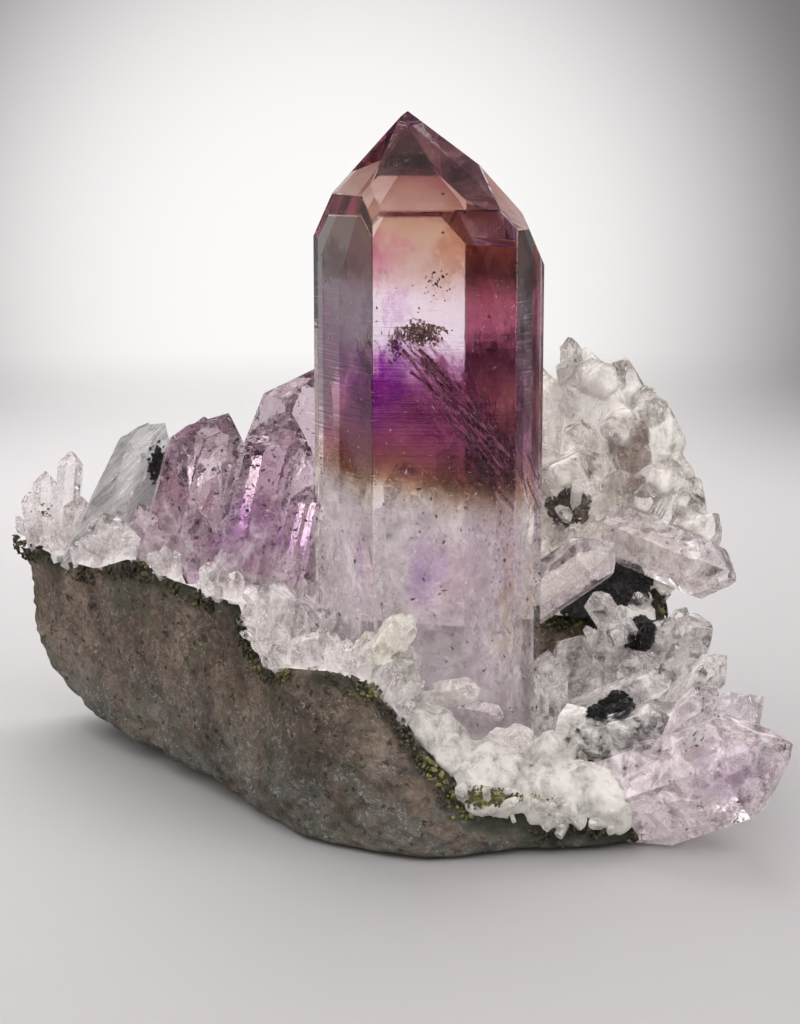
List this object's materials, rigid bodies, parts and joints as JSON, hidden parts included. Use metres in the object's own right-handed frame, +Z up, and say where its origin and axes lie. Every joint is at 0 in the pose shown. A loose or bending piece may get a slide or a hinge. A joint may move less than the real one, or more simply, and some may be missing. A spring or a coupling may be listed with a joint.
{
  "type": "phantom amethyst crystal on basalt matrix",
  "caption": "Tall six-sided amethyst crystal with phantom zones inside, standing on a broken basalt base among smaller quartz crystals; a display mineral specimen.",
  "frame": {"origin": "on the surface the stone rests on, under the middle of the specimen's bounding box", "axes": "+Z up along the tall crystal, +X to the right as seen in the picture, +Y away from the viewer"},
  "size_m": [0.098, 0.0708, 0.084],
  "materials": {
    "basalt": null,
    "phantom_amethyst": "clear quartz with violet, rose and smoky brown zones and fine inclusions",
    "pale_amethyst": "pale lilac quartz, glassy, with dark specks",
    "grey_quartz": "greyish, lightly milky quartz",
    "clear_quartz": "clear to faintly rosy quartz, glassy",
    "frosted_quartz": "pale greenish-white quartz, translucent",
    "milky_quartz": "massive white quartz, waxy and translucent"
  },
  "bodies": {
    "root": {"basalt_matrix": "basalt", "phantom_crystal": "phantom_amethyst", "left_amethysts": "pale_amethyst", "grey_quartz": "grey_quartz", "side_crystal": "clear_quartz", "point_crystal": "clear_quartz", "end_amethysts": "pale_amethyst", "upper_quartz": "frosted_quartz", "milky_quartz": "milky_quartz", "right_druse": "clear_quartz", "front_druse": "frosted_quartz", "left_druse": "clear_quartz", "back_druse": "frosted_quartz"}
  },
  "joints": []
}
